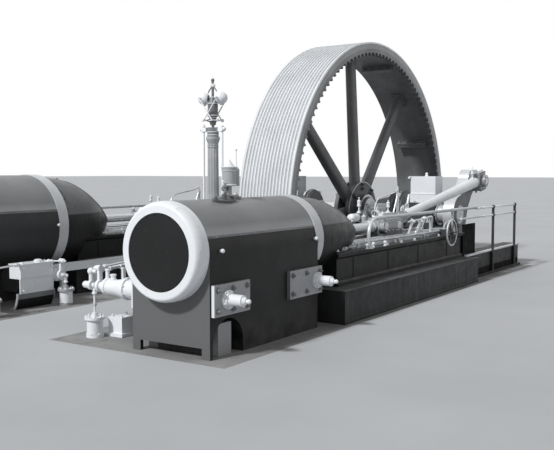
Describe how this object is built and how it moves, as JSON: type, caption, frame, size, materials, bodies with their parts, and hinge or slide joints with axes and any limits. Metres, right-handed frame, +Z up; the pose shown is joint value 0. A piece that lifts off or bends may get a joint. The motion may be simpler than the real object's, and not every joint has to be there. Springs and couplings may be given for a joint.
{
  "type": "horizontal cross-compound mill engine",
  "caption": "Horizontal two-cylinder compound steam engine with a grooved rope flywheel between its two beds, trunk slides, overhung cranks, governor and masonry foundations.",
  "frame": {"origin": "below the crankshaft on the near engine's centre line, at the base of its foundation", "axes": "+X along the engine from the cylinders towards the cranks, +Y from the near engine to the far engine, +Z up"},
  "size_m": [10.25, 5.68, 5.8198],
  "materials": {
    "masonry": "rough weathered stone",
    "black_paint": "satin, weathered",
    "dark_iron": "painted and dusty",
    "grey_paint": "satin",
    "white_paint": "glossy",
    "bright_steel": "polished",
    "rim_iron": "bare, worn by the ropes"
  },
  "bodies": {
    "frame": {"foundations": "masonry", "plinths": "dark_iron", "beds": "black_paint", "near_cylinder_casing": "black_paint", "far_cylinder_casing": "black_paint", "near_rear_ring": "white_paint", "far_rear_ring": "white_paint", "near_rear_cover": "black_paint", "far_rear_cover": "black_paint", "near_front_band": "white_paint", "far_front_band": "white_paint", "near_trunk": "black_paint", "far_trunk": "black_paint", "slide_bars": "bright_steel", "near_outer_valve_bonnets": "grey_paint", "far_outer_valve_bonnets": "grey_paint", "near_inner_valve_bonnets": "grey_paint", "far_inner_valve_bonnets": "grey_paint", "dashpots": "white_paint", "bearing_pedestals": "black_paint", "main_bearings": "dark_iron", "bearing_guards": "white_paint", "stop_valves": "grey_paint", "handrails": "grey_paint", "crank_platforms": "dark_iron", "crank_guards": "dark_iron", "governor_column": "grey_paint", "governor_yoke": "white_paint", "oil_pot": "white_paint"},
    "crankshaft_group": {"crankshaft": "bright_steel", "flywheel_rim": "rim_iron", "flywheel_arms": "grey_paint", "flywheel_hub": "dark_iron", "near_crank": "bright_steel", "far_crank": "bright_steel", "eccentrics": "bright_steel"},
    "near_crosshead_group": {"near_crosshead": "dark_iron", "near_piston_rod": "bright_steel"},
    "far_crosshead_group": {"far_crosshead": "dark_iron", "far_piston_rod": "bright_steel"},
    "near_rod_group": {"near_connecting_rod": "bright_steel"},
    "far_rod_group": {"far_connecting_rod": "bright_steel"},
    "governor_group": {"governor_head": "white_paint"},
    "near_handwheel_group": {"near_handwheel": "bright_steel"},
    "far_handwheel_group": {"far_handwheel": "bright_steel"}
  },
  "joints": [
    {"name": "crankshaft_turn", "type": "hinge", "parent": "frame", "child": "crankshaft_group", "pos_m": [0, 2, 2.96], "axis": [0, 1, 0], "continuous": true},
    {"name": "near_crosshead_slide", "type": "slide", "parent": "frame", "child": "near_crosshead_group", "axis": [1, 0, 0], "range_m": [-1.341, 0.182]},
    {"name": "far_crosshead_slide", "type": "slide", "parent": "frame", "child": "far_crosshead_group", "axis": [1, 0, 0], "range_m": [-1.341, 0.182]},
    {"name": "near_rod_swing", "type": "hinge", "parent": "near_crosshead_group", "child": "near_rod_group", "pos_m": [-3.0206, 0, 2.96], "axis": [0, 1, 0], "range_deg": [-3.6, 20.8]},
    {"name": "far_rod_swing", "type": "hinge", "parent": "far_crosshead_group", "child": "far_rod_group", "pos_m": [-3.0206, 4, 2.96], "axis": [0, 1, 0], "range_deg": [-20.8, 3.6]},
    {"name": "governor_turn", "type": "hinge", "parent": "frame", "child": "governor_group", "pos_m": [-5.2, 1.1, 4.05], "axis": [0, 0, 1], "continuous": true},
    {"name": "near_handwheel_turn", "type": "hinge", "parent": "frame", "child": "near_handwheel_group", "pos_m": [-1.79, -0.46, 2.8], "axis": [0, 1, 0], "continuous": true},
    {"name": "far_handwheel_turn", "type": "hinge", "parent": "frame", "child": "far_handwheel_group", "pos_m": [-1.79, 4.46, 2.8], "axis": [0, 1, 0], "continuous": true}
  ]
}
